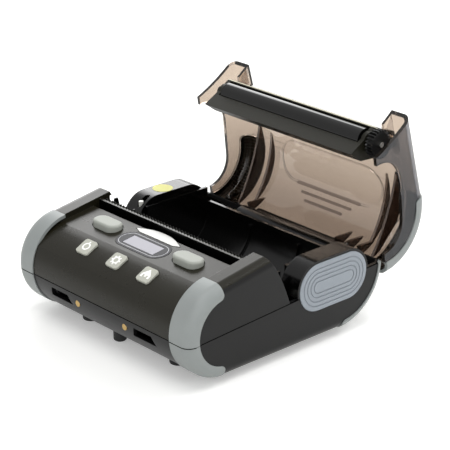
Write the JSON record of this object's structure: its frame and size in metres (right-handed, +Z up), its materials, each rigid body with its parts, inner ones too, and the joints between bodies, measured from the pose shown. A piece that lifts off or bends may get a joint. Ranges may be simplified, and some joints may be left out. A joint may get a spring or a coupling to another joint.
{
  "type": "portable thermal printer",
  "caption": "Mobile thermal receipt printer, rounded case with side pads and soft corners, hinged see-through lid shown open over the paper bay and roller.",
  "frame": {"origin": "Under the middle of the open printer's box, on the surface that it stands on", "axes": "X to the printer's right as its user sees it, Y from the front nose to the hinge, Z up"},
  "size_m": [0.118, 0.143, 0.0926],
  "materials": {
    "case_plastic": "fine satin charcoal",
    "tower_plastic": "fine satin charcoal",
    "bumper_rubber": "matt light grey",
    "pad_rubber": "matt blue grey, moulded grooves",
    "cover_plastic": "smoky brown see-through plastic",
    "frame_plastic": "dark olive satin",
    "steel": "bright sheet and bar",
    "spring_steel": "yellowish passivated wire",
    "roller_rubber": "ground dark rubber",
    "gear_plastic": "moulded acetal",
    "key_plastic": "warm light grey",
    "switch_plastic": "white moulded plastic",
    "bezel_plastic": "black",
    "display_glass": "pale lavender grey",
    "heat_sink": "plain",
    "circuit_board": "green solder mask",
    "brass": "gilt",
    "foot_rubber": "matt black",
    "battery_wrap": "dark shrink wrap"
  },
  "bodies": {
    "base": {"battery_door": "case_plastic", "battery_pack": "battery_wrap", "case_screws": "steel", "charge_contacts": "brass", "clip_stud": "foot_rubber", "front_lower_bumper_left": "bumper_rubber", "front_lower_bumper_right": "bumper_rubber", "front_upper_bumper_left": "bumper_rubber", "front_upper_bumper_right": "bumper_rubber", "gear_pins": "steel", "hinge_pins": "steel", "key_board": "circuit_board", "lcd_bezel": "bezel_plastic", "lcd_glass": "display_glass", "lower_case": "case_plastic", "main_board": "circuit_board", "mechanism_frame": "steel", "paper_tub": "frame_plastic", "port_sockets": "heat_sink", "rear_bumper_left": "bumper_rubber", "rear_bumper_right": "bumper_rubber", "rubber_feet": "foot_rubber", "side_pad_left": "pad_rubber", "side_pad_right": "pad_rubber", "side_tower_left": "tower_plastic", "side_tower_right": "tower_plastic", "stepper_motor": "heat_sink", "switch_body": "switch_plastic", "tear_bar": "steel", "torsion_springs": "spring_steel", "trim_plate": "steel", "upper_case": "case_plastic"},
    "cover": {"cover_shell": "cover_plastic", "roller_frame": "frame_plastic", "cover_tear_strip": "switch_plastic", "hinge_bar": "frame_plastic", "platen_bushes": "gear_plastic", "cover_bumper_right": "bumper_rubber", "cover_bumper_left": "bumper_rubber"},
    "platen": {"platen_shaft": "steel", "platen_roller": "roller_rubber", "platen_gear": "gear_plastic"},
    "drive": {"drive_gear": "gear_plastic"},
    "idler": {"idler_gear": "gear_plastic"},
    "pinion": {"motor_pinion": "steel"},
    "power_key": {"power_button": "key_plastic"},
    "function_key": {"function_button": "key_plastic"},
    "feed_key": {"feed_button": "key_plastic"},
    "release_left": {"release_button_left": "key_plastic"},
    "release_right": {"release_button_right": "key_plastic"},
    "hook_left": {"latch_hook_left": "steel"},
    "hook_right": {"latch_hook_right": "steel"},
    "head": {"thermal_head": "heat_sink"},
    "switch_plunger": {"cover_switch": "switch_plastic"},
    "door_latch": {"battery_latch": "switch_plastic"}
  },
  "joints": [
    {"name": "cover_hinge", "type": "hinge", "parent": "base", "child": "cover", "pos_m": [0, 0.04147, 0.024], "axis": [-1, 0, 0], "range_deg": [-84, 0], "stiffness_Nm_per_rad": 0.02, "springref_deg": 34.38, "deforming": ["torsion_springs"]},
    {"name": "platen_spin", "type": "hinge", "parent": "cover", "child": "platen", "pos_m": [0, 0.04504, 0.08189], "axis": [1, 0, 0], "continuous": true},
    {"name": "drive_spin", "type": "hinge", "parent": "base", "child": "drive", "pos_m": [0, -0.02858, 0.01817], "axis": [1, 0, 0], "continuous": true},
    {"name": "idler_spin", "type": "hinge", "parent": "base", "child": "idler", "pos_m": [0, -0.01766, 0.02214], "axis": [1, 0, 0], "continuous": true},
    {"name": "pinion_spin", "type": "hinge", "parent": "base", "child": "pinion", "pos_m": [0, -0.03715, 0.01505], "axis": [1, 0, 0], "continuous": true},
    {"name": "power_press", "type": "slide", "parent": "base", "child": "power_key", "axis": [0, 0.454, -0.891], "range_m": [0, 0.0006], "stiffness_N_per_m": 600, "springref_m": -0.0004},
    {"name": "function_press", "type": "slide", "parent": "base", "child": "function_key", "axis": [0, 0.454, -0.891], "range_m": [0, 0.0006], "stiffness_N_per_m": 600, "springref_m": -0.0004},
    {"name": "feed_press", "type": "slide", "parent": "base", "child": "feed_key", "axis": [0, 0.454, -0.891], "range_m": [0, 0.0006], "stiffness_N_per_m": 600, "springref_m": -0.0004},
    {"name": "release_left_press", "type": "slide", "parent": "base", "child": "release_left", "axis": [0, 0, -1], "range_m": [0, 0.0022], "stiffness_N_per_m": 500, "springref_m": -0.001},
    {"name": "release_right_press", "type": "slide", "parent": "base", "child": "release_right", "axis": [0, 0, -1], "range_m": [0, 0.0022], "stiffness_N_per_m": 500, "springref_m": -0.001},
    {"name": "hook_left_turn", "type": "hinge", "parent": "base", "child": "hook_left", "pos_m": [0, -0.02633, 0.027], "axis": [1, 0, 0], "range_deg": [0, 7.7]},
    {"name": "hook_right_turn", "type": "hinge", "parent": "base", "child": "hook_right", "pos_m": [0, -0.02633, 0.027], "axis": [1, 0, 0], "range_deg": [0, 7.7]},
    {"name": "head_rock", "type": "hinge", "parent": "base", "child": "head", "pos_m": [0, -0.02353, 0.0225], "axis": [1, 0, 0], "range_deg": [0, 2], "stiffness_Nm_per_rad": 0.5, "springref_deg": -2.86},
    {"name": "switch_press", "type": "slide", "parent": "base", "child": "switch_plunger", "axis": [0, 0, -1], "range_m": [0, 0.0008], "stiffness_N_per_m": 300, "springref_m": -0.0005},
    {"name": "door_latch_slide", "type": "slide", "parent": "base", "child": "door_latch", "axis": [0, -1, 0], "range_m": [0, 0.003], "stiffness_N_per_m": 200, "springref_m": -0.001}
  ],
  "couplings": [
    {"joint": "idler_spin", "follows": "drive_spin", "ratio": -1.0909},
    {"joint": "pinion_spin", "follows": "drive_spin", "ratio": -2},
    {"joint": "hook_left_turn", "follows": "release_left_press", "rad_per_m": 60.8},
    {"joint": "hook_right_turn", "follows": "release_right_press", "rad_per_m": 60.8}
  ]
}
